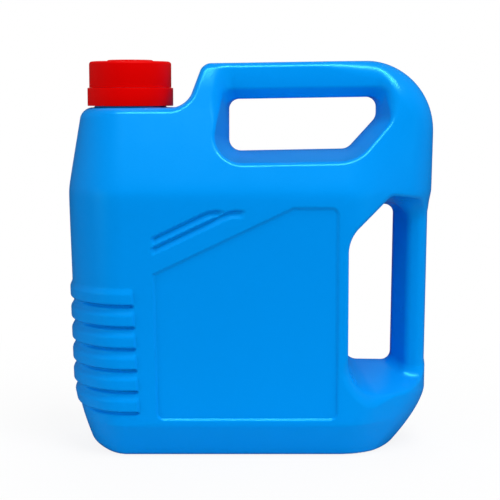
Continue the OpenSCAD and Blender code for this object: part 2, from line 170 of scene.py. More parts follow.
# Ribs
RIB_COUNT = 6
RIB_PITCH = 13.7
RIB_TOP = 102.5
RIB_RISE = 1.6
RIB_SINK = 0.5
RIB_SINK_RUN = 2.0
RIB_SLOPE_TOP = 7.0
RIB_CREST_TOP = 2.0
RIB_UNDERSIDE = -4.35
RIB_UNDERSIDE_RUN = 2.125
RIB_GROOVE_DEPTH = 2.2
RIB_GROOVE_WIDTH = 1.0
RIB_GROOVE_INSET = 4.0
RIB_GROOVE_RUN = 14.0
RIB_END = -74.8
RIB_END_DRAFT = 3.1

# Panel and the grooves above it
PANEL_LEFT = -60.8
PANEL_RIGHT = 55.1
PANEL_FLOOR = 25.0
PANEL_TOP = 159.5
PANEL_SLANT_WIDTH = 88.2
PANEL_SLANT_HEIGHT = 41.8
PANEL_DRAFT = 2.0
PANEL_DEPTH = 1.4
PANEL_CORNER = 4.0
PANEL_EDGE = 1.5
PANEL_TOP_EDGE = 2.4
PANEL_EDGE_START = 20.0
PANEL_EDGE_RUN = 60.0
GROOVE_DEPTH = 2.6
GROOVE_RAMP = 4.6
GROOVE_PITCH = 6.3
GROOVE_START = 16.6
GROOVE_STOP = 2.2
GROOVE_LEVEL = 9.0
GROOVE_BEND = 1.5
GROOVE_WALL = 1.2
GROOVE_LIP = 0.4
GROOVE_LEFT_RUN = 3.0
GROOVE_RIGHT_PAST = 1.5
GROOVE_RIGHT_RUN = 6.0

# Neck, cap, tamper band and liner
NECK_INSET = 41.0
NECK_BORE = 40.0
NECK_WALL = 3.3
BEAD_RISE = 2.1
BEAD_HEIGHT = 3.0
THREAD_ROOM = 2.1
THREAD_PITCH = 5.0
THREAD_START = 2.2
CAP_WALL = 1.6
CAP_HEIGHT = 17.8
CAP_TOP = 2.6
CAP_CROWN = 1.0
CAP_FACE = 29.0
CAP_EDGE = 2.0
BAND_STEP = 1.2
BAND_HEIGHT = 12.2
BAND_WALL = 2.2
BAND_LIP = 3.0
BAND_RAISE = 0.4
LINER_THICKNESS = 1.2
DECK_GAP = 0.6
BREAK_GAP = 0.4
SKIRT_GAP = 0.1
LIP_GAP = 0.8
SEAL_GAP = 0.1
LINER_GAP = 0.3

# Places that the pieces share
LEFT_X = -BODY_WIDTH / 2
RIGHT_X = BODY_WIDTH / 2
NECK_X = LEFT_X + NECK_INSET
LEAN = (BODY_DEPTH - DECK_DEPTH) / 2 / (DECK_HEIGHT - SHOULDER_HEIGHT)
UPPER_LEAN = (DECK_DEPTH - TOP_DEPTH) / 2 / (BOTTLE_HEIGHT - DECK_HEIGHT)
TOP_SLOPE = TOP_RISE / (TOP_HOLE_RIGHT - TOP_HOLE_LEFT)
TOP_LEVEL_X = RIGHT_X - TOP_CORNER_WIDTH
TOP_CORNER_Z = BOTTLE_HEIGHT - TOP_CORNER_HEIGHT
REACH = BODY_DEPTH / 2 + CUT_PAST
NECK_RADIUS = NECK_BORE / 2 + NECK_WALL
CAP_BORE_RADIUS = NECK_RADIUS + THREAD_ROOM
CAP_RADIUS = CAP_BORE_RADIUS + CAP_WALL
BAND_RADIUS = CAP_RADIUS + BAND_STEP
BAND_FLOOR = DECK_HEIGHT + DECK_GAP
BAND_CEILING = BAND_FLOOR + BAND_HEIGHT
CAP_FLOOR = BAND_CEILING + BREAK_GAP
CAP_PEAK = CAP_FLOOR + CAP_HEIGHT
CAP_CEILING = CAP_PEAK - CAP_TOP
RIM_HEIGHT = CAP_CEILING - LINER_THICKNESS - 2 * SEAL_GAP
BEAD_FLOOR = BAND_FLOOR + BAND_LIP + LIP_GAP

# Fineness of the meshes
NET_STEP = np.array([1.2, 1.3, 0.8])
BOTTLE_TRIANGLES = 185000
DRAW_ROUNDS = 2
LARGEST_MOVE = 1.0
LEAST_SLOPE = 0.05
SLOPE_STEP = 0.05
SIZE_GUARD = 1e-6
LENGTH_GUARD = 1e-9
MERGE_DISTANCE = 0.001 * MM
SHARP_ANGLE = math.radians(35)
DIAGONAL = math.sqrt(0.5)


# Ways to join two distances
def round_both(a, b, radius):
    """Inside both a and b, with the outer edge between them rounded."""
    u = np.maximum(a + radius, 0)
    v = np.maximum(b + radius, 0)
    return np.minimum(-radius, np.maximum(a, b)) + np.hypot(u, v)


def round_corner(a, b, radius, cosine):
    """Inside both a and b, whose outward directions have this cosine, with a true arc at their corner."""
    u = a + radius
    v = b + radius
    spread = np.maximum(u * u + v * v - 2 * cosine * u * v, 0)
    arc_size = np.sqrt(spread / (1 - cosine * cosine)) - radius
    return np.where((u > cosine * v) & (v > cosine * u), arc_size, np.maximum(a, b))


def round_either(a, b, radius):
    """Inside a or b, with the inner corner between them filled to a radius."""
    return -round_both(-a, -b, radius)


def oval_both(a, b, wide, high):
    """Inside both a and b, with the outer edge between them rounded to a quarter of an oval."""
    u = np.maximum(a / wide + 1, 0)
    v = np.maximum(b / high + 1, 0)
    size = np.hypot(u, v)
    corner = (size - 1) * size / (np.hypot(u / wide, v / high) + LENGTH_GUARD)
    return np.where(np.minimum(u, v) > 0, corner, np.maximum(a, b))


def soft_both(a, b, reach):
    """Inside both a and b, with a long soft bend between them."""
    shared = np.maximum(reach - np.abs(a - b), 0)
    return np.maximum(a, b) + shared * shared / (4 * reach)


def soft_start(d, softness):
    """A slope that starts softly at zero."""
    return (d + np.sqrt(d * d + softness * softness)) / 2


def ease(t):
    """A step from 0 to 1 that leaves and arrives level."""
    t = np.clip(t, 0, 1)
    return t * t * (3 - 2 * t)


def steepness(profile, z):
    """Factor that turns a level distance from a profile into a true one."""
    slope = (profile(z + SLOPE_STEP) - profile(z - SLOPE_STEP)) / (2 * SLOPE_STEP)
    return 1 / np.sqrt(1 + slope * slope)


# Outline of the bottle at each height
def face_depth(z):
    """Depth of the face in front of the parting plane."""
    tuck = BASE_TUCK / BASE_HEIGHT * soft_start(BASE_HEIGHT - z, CREASE_ROUND)
    upper = (UPPER_LEAN - LEAN) * np.maximum(z - DECK_HEIGHT, 0)
    return BODY_DEPTH / 2 - tuck - upper - LEAN * soft_start(z - SHOULDER_HEIGHT, SHOULDER_ROUND)


def foot_corner(z, wide, high):
    """How far a corner of the front view draws in towards the foot."""
    return wide * np.clip(1 - z / high, 0, CORNER_LIMIT) ** CORNER_CURVE


def left_side(z):
    """Where the rounded left end stands."""
    draft = LEFT_DRAFT / SHOULDER_HEIGHT * soft_start(SHOULDER_HEIGHT - z, SHOULDER_ROUND)
    corner = foot_corner(z, LEFT_CORNER_WIDTH, LEFT_CORNER_HEIGHT)
    lean = (NECK_INSET - DECK_DEPTH / 2) / (DECK_HEIGHT - SHOULDER_HEIGHT)
    return LEFT_X + draft + corner + lean * soft_start(z - SHOULDER_HEIGHT, SHOULDER_ROUND)


def right_side(z):
    """Where the narrow rear end stands, set in a little below the upper body."""
    draft = RIGHT_DRAFT * np.maximum(0, 1 - z / TOP_CORNER_Z)
    shoulder = REAR_SHOULDER * ease((REAR_HOLE_TOP + REAR_SHOULDER_RISE - z) / REAR_SHOULDER_RISE)
    corner = foot_corner(z, RIGHT_CORNER_WIDTH, RIGHT_CORNER_HEIGHT)
    return RIGHT_X - draft - shoulder - corner


def rib_height(z):
    """How far the ribs stand out: a long upper slope, a flat crest, a steep underside, and a shallow gap."""
    rise = 0
    for i in range(RIB_COUNT):
        above = z - RIB_TOP + i * RIB_PITCH
        upper = ease((RIB_SLOPE_TOP - above) / (RIB_SLOPE_TOP - RIB_CREST_TOP))
        under = ease((above - RIB_UNDERSIDE) / RIB_UNDERSIDE_RUN + 0.5)
        rise = np.maximum(rise, upper * under)
    lowest = RIB_TOP - (RIB_COUNT - 1) * RIB_PITCH
    between = ease((RIB_TOP - z) / RIB_SINK_RUN) * ease((z - lowest) / RIB_SINK_RUN)
    return (RIB_RISE + RIB_SINK) * rise - RIB_SINK * np.maximum(between, rise)


def rib_groove(z):
    """Depth of the narrow grooves that set the ribs' undersides off."""
    depth = 0
    for i in range(RIB_COUNT):
        above = z - RIB_TOP + i * RIB_PITCH - RIB_UNDERSIDE + RIB_GROOVE_WIDTH / 2
        depth = depth + RIB_GROOVE_DEPTH * np.exp(-(above / RIB_GROOVE_WIDTH) ** 2)
    return depth


def rib_end(z):
    """Where the ribs end on the face, further along for the lower ones."""
    return RIB_END + RIB_END_DRAFT * (RIB_TOP - z) / (RIB_PITCH * (RIB_COUNT - 1))


def edge_distance(x, z, start, end):
    """Distance from a line between two points of the front view, positive on its right-hand side."""
    run = end[0] - start[0]
    rise = end[1] - start[1]
    return ((x - start[0]) * rise - (z - start[1]) * run) / np.hypot(run, rise)


def panel_distance(x, z):
    """Distance from the panel's outline in the front view, negative inside."""
    corners = [
        (PANEL_LEFT + PANEL_DRAFT, PANEL_FLOOR),
        (PANEL_RIGHT, PANEL_FLOOR),
        (PANEL_RIGHT, PANEL_TOP),
        (PANEL_LEFT + PANEL_SLANT_WIDTH, PANEL_TOP),
        (PANEL_LEFT, PANEL_TOP - PANEL_SLANT_HEIGHT),
    ]
    inside = edge_distance(x, z, corners[-1], corners[0])
    for start, end in zip(corners[:3], corners[1:4]):
        inside = round_both(inside, edge_distance(x, z, start, end), PANEL_CORNER)
    slant = edge_distance(x, z, corners[3], corners[4])
    return np.maximum(inside, slant)


def groove_depth(x, z, lift):
    """Depth of a groove above the panel's slanted corner: a steep upper wall over a gentle ramp."""
    slope = PANEL_SLANT_HEIGHT / PANEL_SLANT_WIDTH
    floor = PANEL_TOP - PANEL_SLANT_HEIGHT + lift
    level = PANEL_TOP - GROOVE_STOP
    last = PANEL_LEFT + (level - floor) / slope + GROOVE_LEVEL
    above = -soft_both(z - floor - (x - PANEL_LEFT) * slope, z - level, GROOVE_BEND)
    wall = ease((above + GROOVE_WALL + GROOVE_LIP) / (GROOVE_WALL + 2 * GROOVE_LIP))
    ramp = np.clip((GROOVE_RAMP - above) / GROOVE_RAMP, 0, 1)
    left_end = ease((x - PANEL_LEFT + PANEL_DRAFT) / GROOVE_LEFT_RUN)
    right_end = ease((last + GROOVE_RIGHT_PAST - x) / GROOVE_RIGHT_RUN)
    return GROOVE_DEPTH * wall * ramp * (left_end * right_end)


def handle_lift(x):
    """How far the sloping top handle stands above its height at the right shoulder."""
    return TOP_SLOPE * (x - TOP_LEVEL_X)


def sides(x, a, z):
    """Distance from the upright walls: the rounded left end, the face and the taper to the rear."""
    left = left_side(z)
    depth = face_depth(z)
    middle = np.maximum(NECK_X, left + LEAST_END)
    length = middle - left
    along = np.maximum(middle - x, 0) / length
    across = a / depth
    size = np.hypot(along, across) + SIZE_GUARD
    scale = size / (np.hypot(along / length, across / depth) + SIZE_GUARD / depth)
    turn = (along / size) ** 2
    level = turn * steepness(left_side, z) + (1 - turn) * steepness(face_depth, z)
    face = (size - 1) * scale * level
    ribs = rib_height(z) - rib_groove(z) * ease((x - left - RIB_GROOVE_INSET) / RIB_GROOVE_RUN)
    face = face - ribs * ease((rib_end(z) + RIB_RISE - x) / RIB_RISE)
    rear = -soft_both(-REAR_DEPTH / 2, REAR_STEP - depth, REAR_BEND)
    run = right_side(z) - FACE_END - FACE_BEND
    fall = depth - rear
    taper_length = np.hypot(run, fall)
    taper = ((x - FACE_END - FACE_BEND) * fall + (a - depth) * run) / taper_length
    return soft_both(face, taper, FACE_BEND * fall / taper_length)


def front_outline(x, z):
    """Distance from the outline that the front view shows, without the left end and the base."""
    rising = z - handle_lift(x)
    line = POST_FOOT + POST_LEAN * (rising - DECK_HEIGHT) / (BOTTLE_HEIGHT - DECK_HEIGHT)
    post = (line - x) * math.cos(math.atan(POST_LEAN / (BOTTLE_HEIGHT - DECK_HEIGHT)))
    handle = round_both(post, rising - BOTTLE_HEIGHT, POST_CORNER)
    beyond_post = ease((x - TOP_HOLE_LEFT) / POST_FILLET_RUN)
    block = round_either(z - DECK_HEIGHT, handle, POST_FILLET)
    block = block + (handle - block) * beyond_post
    side = (x - right_side(z)) * steepness(right_side, z)
    return oval_both(side, block, TOP_CORNER_WIDTH, TOP_CORNER_HEIGHT)


# The two handles
def top_opening(x, a, z):
    """Distance from the top handle's opening, negative in the pocket round the bar."""
    part = np.sqrt(a * a + PARTING_ROUND ** 2) / REACH
    shift = TOP_SLANT_SHIFT * (TOP_FLARE * part)
    tilt = math.cos(math.atan(TOP_FLARE / REACH))
    left_x = TOP_HOLE_LEFT - TOP_FLARE_LEFT * part
    right_x = TOP_HOLE_RIGHT + TOP_FLARE_RIGHT * part
    floor_z = TOP_HOLE_FLOOR - TOP_FLARE_DOWN * part
    floor_end = (TOP_HOLE_RIGHT - TOP_SLANT_WIDTH + shift, floor_z)
    slant_end = (right_x, TOP_HOLE_FLOOR + TOP_SLANT_HEIGHT - shift)
    left = (left_x - x) * tilt
    floor = edge_distance(x, z, (left_x, floor_z - TOP_RISE), floor_end) * tilt
    slant = edge_distance(x, z, floor_end, slant_end) * tilt
    right = (x - right_x) * tilt
    corner = TOP_HOLE_CORNER + CORNER_GROWTH * part
    slant_size = math.hypot(TOP_SLANT_WIDTH, TOP_SLANT_HEIGHT)
    pocket = round_both(left, floor, corner)
    pocket = round_corner(pocket, slant, corner, TOP_SLANT_WIDTH / slant_size)
    pocket = round_corner(pocket, right, corner, TOP_SLANT_HEIGHT / slant_size)
    under = BOTTLE_HEIGHT - TOP_BAR_DROP - TOP_BAR_HEIGHT + handle_lift(x) - z
    front = a - TOP_BAR_DEPTH / 2
    bevel = (front + under + TOP_BAR_BEVEL) * DIAGONAL
    bar = round_corner(front, bevel, TOP_BAR_ROUND, DIAGONAL)
    bar = round_corner(bar, under, TOP_BAR_ROUND, DIAGONAL)
    return round_both(pocket, -bar, HOLE_FILLET)


def rear_opening(x, a, z):
    """Distance from the rear handle's opening, negative in the pocket round the bar."""
    part = np.sqrt(a * a + PARTING_ROUND ** 2) / REACH
    left_x = REAR_HOLE_LEFT - REAR_FLARE_LEFT * part
    floor_z = REAR_HOLE_FLOOR - REAR_FLARE_DOWN * part
    top_z = REAR_HOLE_TOP + REAR_FLARE_UP * part
    slant_shift = REAR_SLANT_FLARE * part
    slant_high = (REAR_HOLE_LEFT + REAR_SLANT_WIDTH + slant_shift, top_z)
    slant_low = (left_x, REAR_HOLE_TOP - REAR_SLANT_HEIGHT + slant_shift)
    floor_end = (RIGHT_X + CUT_PAST, floor_z - REAR_FLOOR_SLANT * part)
    left = left_x - x
    floor = edge_distance(x, z, (left_x, floor_z), floor_end)
    slant = edge_distance(x, z, slant_high, slant_low)
    corner = REAR_HOLE_CORNER + CORNER_GROWTH * part
    slant_size = math.hypot(REAR_SLANT_WIDTH, REAR_SLANT_HEIGHT)
    pocket = round_both(left, floor, corner)
    pocket = round_corner(pocket, slant, corner, REAR_SLANT_HEIGHT / slant_size)
    pocket = round_corner(pocket, z - top_z, REAR_HOLE_CORNER, REAR_SLANT_WIDTH / slant_size)
    side = right_side(np.clip(z, RIGHT_CORNER_HEIGHT, REAR_HOLE_TOP)) - REAR_BAR_STEP
    inner = side - REAR_BAR_WIDTH - x
    front = a - REAR_BAR_DEPTH / 2
    bevel_size = math.hypot(REAR_BAR_BEVEL, REAR_BAR_BEVEL_DEPTH)
    bevel = (inner * REAR_BAR_BEVEL_DEPTH + (front + REAR_BAR_BEVEL_DEPTH) * REAR_BAR_BEVEL) / bevel_size
    bar = round_both(x - side, front, REAR_BAR_EDGE)
    bar = round_corner(bar, bevel, REAR_BAR_FRONT_ROUND, REAR_BAR_BEVEL / bevel_size)
    bar = round_corner(bar, inner, REAR_BAR_INNER_ROUND, REAR_BAR_BEVEL_DEPTH / bevel_size)
    roof_share = ease((z - REAR_HOLE_TOP + 2 * REAR_ROOF_FILLET) / REAR_ROOF_FILLET)
    front_share = ease((a - REAR_BAR_DEPTH / 2 + REAR_BAR_EDGE) / REAR_BAR_EDGE)
    fillet = HOLE_FILLET + (REAR_ROOF_FILLET - HOLE_FILLET) * roof_share * front_share
    return round_both(pocket, -bar, fillet)


# The whole bottle
def face_relief(x, z):
    """How deep the panel, its two grooves and the curved top of the post lie in the walls."""
    upper = ease((z - PANEL_FLOOR - PANEL_EDGE_START) / PANEL_EDGE_RUN)
    edge = PANEL_EDGE + (PANEL_TOP_EDGE - PANEL_EDGE) * upper
    panel = PANEL_DEPTH * ease(0.5 - panel_distance(x, z) / edge)
    on_post = ease((TOP_HOLE_LEFT + POST_BACK_PAST - x) / POST_BACK_RUN)
    post = POST_BACK * np.maximum(z - POST_BACK_START, 0) ** 2 * on_post
    lower_groove = groove_depth(x, z, GROOVE_START)
    upper_groove = groove_depth(x, z, GROOVE_START + GROOVE_PITCH)
    return panel + post + np.maximum(lower_groove, upper_groove)


def deck_edge(x):
    """Rounding along the upper edge: tight in front, wider round the left end and over the rear."""
    left = ease((NECK_X - DECK_EDGE_INSET - x) / DECK_EDGE_RUN)
    rear = ease((x - REAR_EDGE_START) / REAR_EDGE_RUN)
    edge = FRONT_DECK_EDGE + (LEFT_DECK_EDGE - FRONT_DECK_EDGE) * left
    return edge + (REAR_EDGE - FRONT_DECK_EDGE) * rear


def bottle_field(x, y, z):
    """About the distance from the bottle's outer surface, negative inside."""
    a = np.abs(y)
    raised = np.clip((z - SHOULDER_HEIGHT) / (DECK_HEIGHT - SHOULDER_HEIGHT), 0, 1)
    raised = raised * ease((x - NECK_X) / TOP_RISE_RUN)
    walls = sides(x, a, z - handle_lift(x) * raised) + face_relief(x, z)
    form = round_both(walls, front_outline(x, z), deck_edge(x))
    foot_round = BASE_EDGE + (LEFT_FOOT_ROUND - BASE_EDGE) * ease((NECK_X - x) / LEFT_FOOT_RUN)
    form = round_both(form, -z, foot_round)
    level = np.zeros_like(z)
    foot = np.maximum(sides(x, a, level), x - right_side(level)) + STAND_RIM + np.maximum(z, 0)
    form = round_both(form, -np.maximum(foot, z - PUSH_UP), PUSH_UP_ROUND)
    soft = ease((z - TOP_HOLE_FLOOR - TOP_RIM_START) / TOP_RIM_RUN)
    form = round_both(form, -top_opening(x, a, z), RIM_ROUND + (SOFT_RIM - RIM_ROUND) * soft)
    soft = ease((REAR_HOLE_FLOOR + REAR_RIM_RISE - z) / REAR_RIM_RUN)
    soft = soft * ease((REAR_RIM_END - x) / REAR_RIM_FADE)
    return round_both(form, -rear_opening(x, a, z), RIM_ROUND + (SOFT_RIM - RIM_ROUND) * soft)


def field_slope(points):
    """Gradient of the bottle's field at each point."""
    slopes = []
    for axis in range(3):
        shift = np.zeros(3)
        shift[axis] = SLOPE_STEP
        ahead = bottle_field(*(points + shift).T)
        behind = bottle_field(*(points - shift).T)
        slopes.append((ahead - behind) / (2 * SLOPE_STEP))
    return np.stack(slopes, axis=1)


# Meshes
def surface_net(step):
    """Points and four-sided faces where the field is zero, from a grid mirrored across Y = 0."""
    margin = 3 * step
    xs = np.arange(LEFT_X - margin[0], RIGHT_X + margin[0], step[0])
    ys = np.arange(step[1] / 2, BODY_DEPTH / 2 + RIB_RISE + margin[1], step[1])
    zs = np.arange(-margin[2], BOTTLE_HEIGHT + margin[2], step[2])
    half = bottle_field(xs[:, None, None], ys[None, :, None], zs[None, None, :])
    values = np.concatenate([half[:, ::-1], half], axis=1).astype(np.float32)
    start = np.array([xs[0], -ys[-1], zs[0]])
    inside = values < 0

    # One point in each cell that the surface crosses
    count = np.zeros(np.array(inside.shape) - 1, np.int8)
    corners = [(i, j, k) for i in (0, 1) for j in (0, 1) for k in (0, 1)]
    size = count.shape
    for i, j, k in corners:
        count += inside[i:i + size[0], j:j + size[1], k:k + size[2]]
    crossed = (count > 0) & (count < len(corners))
    cells = np.argwhere(crossed)
    number = np.full(size, -1, np.int64)
    number[crossed] = np.arange(len(cells))
    total = np.zeros((len(cells), 3))
    hits = np.zeros(len(cells))
    for first in corners:
        for axis in range(3):
            if first[axis]:
                continue
            second = list(first)
            second[axis] = 1
            one = values[tuple((cells + np.array(first)).T)]
            two = values[tuple((cells + np.array(second)).T)]
            cut = (one < 0) != (two < 0)
            share = one[cut] / (one[cut] - two[cut])
            total[cut] += np.array(first)
            total[cut, axis] += share
            hits[cut] += 1
    points = start + step * (cells + total / hits[:, None])

    # One face across each edge of the grid that the surface crosses
    faces = []
    for axis in range(3):
        one = np.take(inside, range(inside.shape[axis] - 1), axis=axis)
        two = np.take(inside, range(1, inside.shape[axis]), axis=axis)
        found = np.argwhere(one != two)
        leaving = one[tuple(found.T)]
        u = np.zeros(3, int)
        v = np.zeros(3, int)
        u[(axis + 1) % 3] = 1
        v[(axis + 2) % 3] = 1
        around = [number[tuple((found - s * u - t * v).T)] for s, t in ((1, 1), (0, 1), (0, 0), (1, 0))]
        quads = np.stack(around, axis=1)
        faces.append(np.where(leaving[:, None], quads, quads[:, ::-1]))
    return points, np.concatenate(faces)


def mesh_piece(name, points, faces):
    """A smooth mesh object from points in millimetres and faces with equal numbers of corners."""
    mesh = bpy.data.meshes.new(name)
    corners = faces.shape[1]
    mesh.vertices.add(len(points))
    mesh.vertices.foreach_set("co", (points * MM).astype(np.float32).ravel())
    mesh.loops.add(faces.size)
    mesh.loops.foreach_set("vertex_index", faces.astype(np.int32).ravel())
    mesh.polygons.add(len(faces))
    mesh.polygons.foreach_set("loop_start", np.arange(0, faces.size, corners, dtype=np.int32))
    mesh.update(calc_edges=True)
    mesh.validate()
    mesh.shade_smooth()
    piece = bpy.data.objects.new(name, mesh)
    bpy.context.scene.collection.objects.link(piece)
    return piece


def bottle_piece():
    """The moulded bottle: a fine net that is drawn onto the surface, then thinned where it is flat."""
    points, faces = surface_net(NET_STEP)
    for _ in range(DRAW_ROUNDS):
        slope = field_slope(points)
        away = bottle_field(*points.T) / np.maximum((slope * slope).sum(axis=1), LEAST_SLOPE)
        points = points - np.clip(away, -LARGEST_MOVE, LARGEST_MOVE)[:, None] * slope
    piece = mesh_piece("bottle_shell", points, faces)
    thin = piece.modifiers.new("thin", "DECIMATE")
    thin.ratio = min(1.0, BOTTLE_TRIANGLES / (2 * len(faces)))
    drawn = bpy.data.meshes.new_from_object(piece.evaluated_get(bpy.context.evaluated_depsgraph_get()))
    piece.modifiers.remove(thin)
    piece.data = drawn
    drawn.shade_smooth()
    flat = np.empty(3 * len(drawn.vertices), np.float32)
    drawn.vertices.foreach_get("co", flat)
    placed = flat.reshape(-1, 3)
    placed = np.clip(placed, np.array(cad_box[0], np.float32), np.array(cad_box[1], np.float32))
    drawn.vertices.foreach_set("co", placed.ravel())
    normals = field_slope(placed.astype(float) / MM)
    normals /= np.linalg.norm(normals, axis=1)[:, None] + LENGTH_GUARD
    drawn.normals_split_custom_set_from_vertices(normals.tolist())
    return piece


def turned_piece(name, profile, turns=128):
    """A piece turned round the neck's axis from a closed profile of radius and height."""
    outline = np.array(profile, float)
    rows = len(outline)
    angles = np.arange(turns) * 2 * math.pi / turns
    points = np.empty((turns, rows, 3))
    points[:, :, 0] = NECK_X + np.cos(angles)[:, None] * outline[:, 0]
    points[:, :, 1] = np.sin(angles)[:, None] * outline[:, 0]
    points[:, :, 2] = outline[:, 1]
    i, j = np.meshgrid(np.arange(turns), np.arange(rows), indexing="ij")
    here = i * rows
    ahead = (i + 1) % turns * rows
    j_next = (j + 1) % rows
    quads = np.stack([here + j, ahead + j, ahead + j_next, here + j_next], axis=-1)
    piece = mesh_piece(name, points.reshape(-1, 3), quads.reshape(-1, 4))
    joined = bmesh.new()
    joined.from_mesh(piece.data)
    bmesh.ops.remove_doubles(joined, verts=joined.verts, dist=MERGE_DISTANCE)
    joined.to_mesh(piece.data)
    joined.free()
    piece.data.set_sharp_from_angle(angle=SHARP_ANGLE)
    return piece


def arc(centre, radius, first, last, steps=6):
    """Points along an arc of a profile, with angles in degrees."""
    angles = np.radians(np.linspace(first, last, steps + 1))
    return [(centre[0] + radius * math.cos(t), centre[1] + radius * math.sin(t)) for t in angles]


def neck_piece():
    """The neck: a tube with a fillet at its foot, the bead that holds the tamper band, and a rounded rim."""
    foot = DECK_HEIGHT - 1.0
    fillet = 1.5
    edge = 0.8
    bead_round = 0.4
    corner = 0.1
    bead_top = BEAD_FLOOR + BEAD_HEIGHT
    profile = [(NECK_BORE / 2, foot), (NECK_RADIUS + fillet, foot)]
    profile += arc((NECK_RADIUS + fillet, DECK_HEIGHT + fillet), fillet, 270, 180)
    profile += [(NECK_RADIUS, BEAD_FLOOR - corner)]
    profile += arc((NECK_RADIUS + BEAD_RISE - bead_round, BEAD_FLOOR + bead_round), bead_round, 270, 380)
    profile += [(NECK_RADIUS + corner, bead_top), (NECK_RADIUS, bead_top + bead_round)]
    profile += arc((NECK_RADIUS - edge, RIM_HEIGHT - edge), edge, 0, 90)
    profile += arc((NECK_BORE / 2 + edge, RIM_HEIGHT - edge), edge, 90, 180)
    return turned_piece("neck_finish", profile)


def thread_piece():
    """The raised thread on the neck, one and three quarter turns with run-outs."""
    turns = 1.75
    steps = 220
    run_out = 12
    end_height = 0.4
    start = CAP_FLOOR + THREAD_START
    ridge = [(-0.3, -1.3), (0.9, -0.45), (1.25, 0.0), (0.9, 0.45), (-0.3, 1.3)]
    points = []
    for i in range(steps + 1):
        t = i / steps
        angle = 2 * math.pi * turns * t
        fade = min(1.0, run_out * t, run_out * (1 - t))
        height = start + THREAD_PITCH * turns * t
        for out, up in ridge:
            radius = NECK_RADIUS + (out if out < 0 else out * fade)
            rise = up * (end_height + (1 - end_height) * fade)
            points.append((NECK_X + radius * math.cos(angle), radius * math.sin(angle), height + rise))
    count = len(ridge)
    quads = []
    for i in range(steps):
        for j in range(count):
            k = (j + 1) % count
            quads.append((i * count + j, (i + 1) * count + j, (i + 1) * count + k, i * count + k))
    return mesh_piece("neck_thread", np.array(points), np.array(quads))


def cap_piece():
    """The screw cap: a smooth skirt, a rounded top edge and a raised round face."""
    skirt = CAP_FLOOR - BREAK_GAP + SKIRT_GAP
    top = CAP_PEAK - CAP_CROWN
    face = CAP_FACE / 2
    bevel = 0.4
    hem = 0.15
    corner = 0.1
    face_round = 0.3
    profile = [(0, CAP_CEILING), (CAP_BORE_RADIUS, CAP_CEILING), (CAP_BORE_RADIUS, skirt + bevel)]
    profile += [(CAP_BORE_RADIUS + bevel, skirt)]
    profile += arc((CAP_RADIUS - hem, skirt + hem), hem, 270, 360, 3)
    profile += arc((CAP_RADIUS - CAP_EDGE, top - CAP_EDGE), CAP_EDGE, 0, 90, 8)
    profile += [(face + CAP_CROWN + bevel, top), (face + CAP_CROWN, top + corner)]
    profile += [(face + corner, CAP_PEAK - corner), (face - face_round, CAP_PEAK), (0, CAP_PEAK)]
    return turned_piece("screw_cap", profile)


def band_piece():
    """The tamper band, with the lip that lies under the neck's bead."""
    inner = NECK_RADIUS + LIP_GAP
    low = BAND_FLOOR + BAND_RAISE
    top = BAND_CEILING
    lip = BAND_FLOOR + BAND_LIP
    low_round = 0.3
    top_round = 0.5
    profile = [(inner, low)]
    profile += arc((BAND_RADIUS - low_round, low + low_round), low_round, 270, 360, 4)
    profile += arc((BAND_RADIUS - top_round, top - top_round), top_round, 0, 90, 5)
    profile += [(BAND_RADIUS - BAND_WALL, top), (BAND_RADIUS - BAND_WALL, lip + LIP_GAP)]
    profile += [(inner, lip)]
    return turned_piece("tamper_ring", profile)


def liner_piece():
    """The foam disc in the cap, over the neck's rim."""
    low = RIM_HEIGHT + SEAL_GAP
    high = low + LINER_THICKNESS
    outer = CAP_BORE_RADIUS - LINER_GAP
    edge = 0.25
    profile = [(0, low)]
    profile += arc((outer - edge, low + edge), edge, 270, 360, 3)
    profile += arc((outer - edge, high - edge), edge, 0, 90, 3)
    profile += [(0, high)]
    return turned_piece("sealing_liner", profile)


